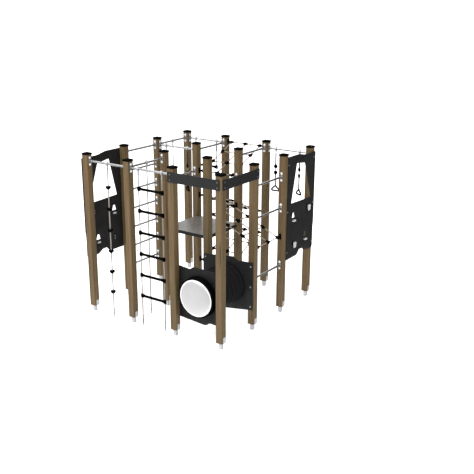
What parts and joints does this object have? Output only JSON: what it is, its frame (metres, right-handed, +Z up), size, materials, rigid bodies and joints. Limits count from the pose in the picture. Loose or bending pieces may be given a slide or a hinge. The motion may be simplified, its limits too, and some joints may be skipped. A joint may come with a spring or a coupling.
{
  "type": "climbing frame",
  "caption": "Timber post grid climbing frame with overhead bars, rope ladder, stepped rope, swinging grips, trapeze, nets, boards, deck and crawl tunnel.",
  "frame": {"origin": "middle of the footprint's bounding box, on the ground under the post feet", "axes": "+Z up, -Y the open front with the rope ladder and the tunnel window, +X towards the right-hand climbing board"},
  "size_m": [3.2886, 3.1698, 3.12],
  "materials": {
    "timber": "oiled glued-laminated timber with fine grain",
    "steel": "satin galvanised tube",
    "slate_board": "slate grey high pressure laminate, satin",
    "charcoal_board": "charcoal high pressure laminate, satin",
    "deck_board": "grey anti-slip laminate with a dark edge",
    "rope": "six-strand polyester rope on a steel core, natural beige",
    "black_plastic": "black moulded plastic, satin",
    "opal_plastic": "opal domed plastic, glossy"
  },
  "bodies": {
    "frame": {"post_a1": "timber", "post_a2": "timber", "post_a3": "timber", "post_a4": "timber", "post_b1": "timber", "post_b2": "timber", "post_b3": "timber", "post_b4": "timber", "post_c1": "timber", "post_c2": "timber", "post_c3": "timber", "post_c4": "timber", "post_d1": "timber", "post_d2": "timber", "post_d3": "timber", "post_d4": "timber", "top_bar_a2_a3": "steel", "top_bar_b3_b4": "steel", "top_bar_c3_c4": "steel", "hand_bar_b2_b3": "steel", "hand_bar_c2_c3": "steel", "wall_rung_1": "steel", "wall_rung_2": "steel", "wall_rung_3": "steel", "wall_rung_4": "steel", "wall_rung_5": "steel", "wall_rung_6": "steel", "side_bar_1": "steel", "side_bar_2": "steel", "side_bar_3": "steel", "grip_bar_c4_d4": "steel", "grip_bar_a3_b3": "steel", "trapeze_bar_a4_b4": "steel", "climbing_rope_bar_b1_b2": "steel", "climbing_rope_bar_a3_a4": "steel", "step_rope_bar_a1_b1": "steel", "rope_ladder_bar_b1_c1": "steel", "beam_front": "slate_board", "beam_side": "slate_board", "climbing_panel_right": "charcoal_board", "climbing_panel_left": "charcoal_board", "deck": "deck_board", "tunnel_front_board": "charcoal_board", "tunnel_back_board": "charcoal_board", "tunnel_tube": "black_plastic", "window_ring": "black_plastic", "window_dome": "opal_plastic", "net_upper": "rope", "net_middle": "rope", "net_lower": "rope", "net_side": "rope"},
    "grip_hanger_1": {"grip_hanger_1": "steel"},
    "grip_hanger_2": {"grip_hanger_2": "steel"},
    "grip_hanger_3": {"grip_hanger_3": "steel"},
    "grip_hanger_4": {"grip_hanger_4": "steel"},
    "grip_handle_1": {"grip_handle_1": "black_plastic"},
    "grip_handle_2": {"grip_handle_2": "black_plastic"},
    "grip_handle_3": {"grip_handle_3": "black_plastic"},
    "grip_handle_4": {"grip_handle_4": "black_plastic"},
    "trapeze": {"trapeze": "black_plastic"}
  },
  "joints": [
    {"name": "grip_swing_1", "type": "hinge", "parent": "frame", "child": "grip_hanger_1", "pos_m": [0.729, 1.5124, 2.97], "axis": [1, 0, 0], "range_deg": [-45, 45]},
    {"name": "grip_turn_1", "type": "hinge", "parent": "grip_hanger_1", "child": "grip_handle_1", "pos_m": [0.729, 1.5124, 2.75], "axis": [0, 0, 1], "continuous": true},
    {"name": "grip_swing_2", "type": "hinge", "parent": "frame", "child": "grip_hanger_2", "pos_m": [1.271, 1.5124, 2.97], "axis": [1, 0, 0], "range_deg": [-45, 45]},
    {"name": "grip_turn_2", "type": "hinge", "parent": "grip_hanger_2", "child": "grip_handle_2", "pos_m": [1.271, 1.5124, 2.75], "axis": [0, 0, 1], "continuous": true},
    {"name": "grip_swing_3", "type": "hinge", "parent": "frame", "child": "grip_hanger_3", "pos_m": [-1.271, 0.5124, 2.97], "axis": [1, 0, 0], "range_deg": [-45, 45]},
    {"name": "grip_turn_3", "type": "hinge", "parent": "grip_hanger_3", "child": "grip_handle_3", "pos_m": [-1.271, 0.5124, 2.75], "axis": [0, 0, 1], "continuous": true},
    {"name": "grip_swing_4", "type": "hinge", "parent": "frame", "child": "grip_hanger_4", "pos_m": [-0.729, 0.5124, 2.97], "axis": [1, 0, 0], "range_deg": [-45, 45]},
    {"name": "grip_turn_4", "type": "hinge", "parent": "grip_hanger_4", "child": "grip_handle_4", "pos_m": [-0.729, 0.5124, 2.75], "axis": [0, 0, 1], "continuous": true},
    {"name": "trapeze_swing", "type": "hinge", "parent": "frame", "child": "trapeze", "pos_m": [-1, 1.5124, 2.97], "axis": [1, 0, 0], "range_deg": [-45, 45]}
  ]
}
